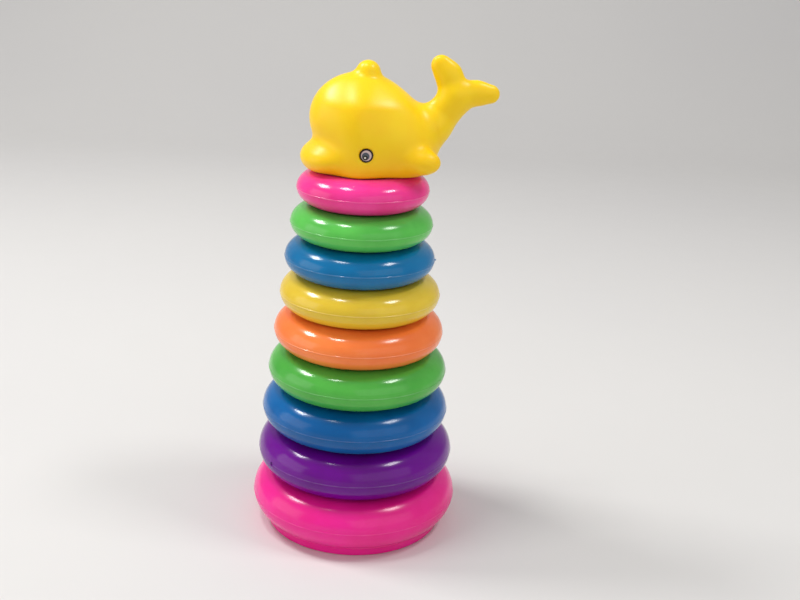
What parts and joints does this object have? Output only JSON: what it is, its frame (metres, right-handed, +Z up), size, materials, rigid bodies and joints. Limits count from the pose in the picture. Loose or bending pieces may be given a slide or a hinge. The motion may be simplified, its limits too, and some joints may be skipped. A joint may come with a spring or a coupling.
{
  "type": "ring stacking toy",
  "caption": "Stacking tower toy: hollow plastic rings of falling size on a tapered post with a round base, capped by a dolphin that lifts off.",
  "frame": {"origin": "centre of the base, on the surface it stands on", "axes": "+Z up the post, -X the way the dolphin faces, -Y the dolphin's left side with the printed eye towards the viewer"},
  "size_m": [0.1327, 0.1204, 0.2764],
  "materials": {
    "base_pink": "gloss",
    "post_white": "satin",
    "purple_plastic": "gloss",
    "blue_plastic": "gloss",
    "green_plastic": "gloss",
    "orange_plastic": "gloss",
    "yellow_plastic": "gloss",
    "pink_plastic": "gloss",
    "dolphin_yellow": "satin",
    "eye_print": "gloss"
  },
  "bodies": {
    "base": {"base": "base_pink", "post": "post_white"},
    "ring_purple": {"ring_purple": "purple_plastic"},
    "ring_blue_large": {"ring_blue_large": "blue_plastic"},
    "ring_green_large": {"ring_green_large": "green_plastic"},
    "ring_orange": {"ring_orange": "orange_plastic"},
    "ring_yellow": {"ring_yellow": "yellow_plastic"},
    "ring_blue_small": {"ring_blue_small": "blue_plastic"},
    "ring_green_small": {"ring_green_small": "green_plastic"},
    "ring_pink": {"ring_pink": "pink_plastic"},
    "dolphin": {"dolphin": "dolphin_yellow", "eye_left": "eye_print", "eye_right": "eye_print"}
  },
  "joints": [
    {"name": "lift_purple", "type": "slide", "parent": "base", "child": "ring_purple", "axis": [0, 0, 1], "range_m": [0, 0.2]},
    {"name": "lift_blue_large", "type": "slide", "parent": "ring_purple", "child": "ring_blue_large", "axis": [0, 0, 1], "range_m": [0, 0.172]},
    {"name": "lift_green_large", "type": "slide", "parent": "ring_blue_large", "child": "ring_green_large", "axis": [0, 0, 1], "range_m": [0, 0.147]},
    {"name": "lift_orange", "type": "slide", "parent": "ring_green_large", "child": "ring_orange", "axis": [0, 0, 1], "range_m": [0, 0.124]},
    {"name": "lift_yellow", "type": "slide", "parent": "ring_orange", "child": "ring_yellow", "axis": [0, 0, 1], "range_m": [0, 0.101]},
    {"name": "lift_blue_small", "type": "slide", "parent": "ring_yellow", "child": "ring_blue_small", "axis": [0, 0, 1], "range_m": [0, 0.08]},
    {"name": "lift_green_small", "type": "slide", "parent": "ring_blue_small", "child": "ring_green_small", "axis": [0, 0, 1], "range_m": [0, 0.059]},
    {"name": "lift_pink", "type": "slide", "parent": "ring_green_small", "child": "ring_pink", "axis": [0, 0, 1], "range_m": [0, 0.04]},
    {"name": "lift_dolphin", "type": "slide", "parent": "ring_pink", "child": "dolphin", "axis": [0, 0, 1], "range_m": [0, 0.02]}
  ]
}
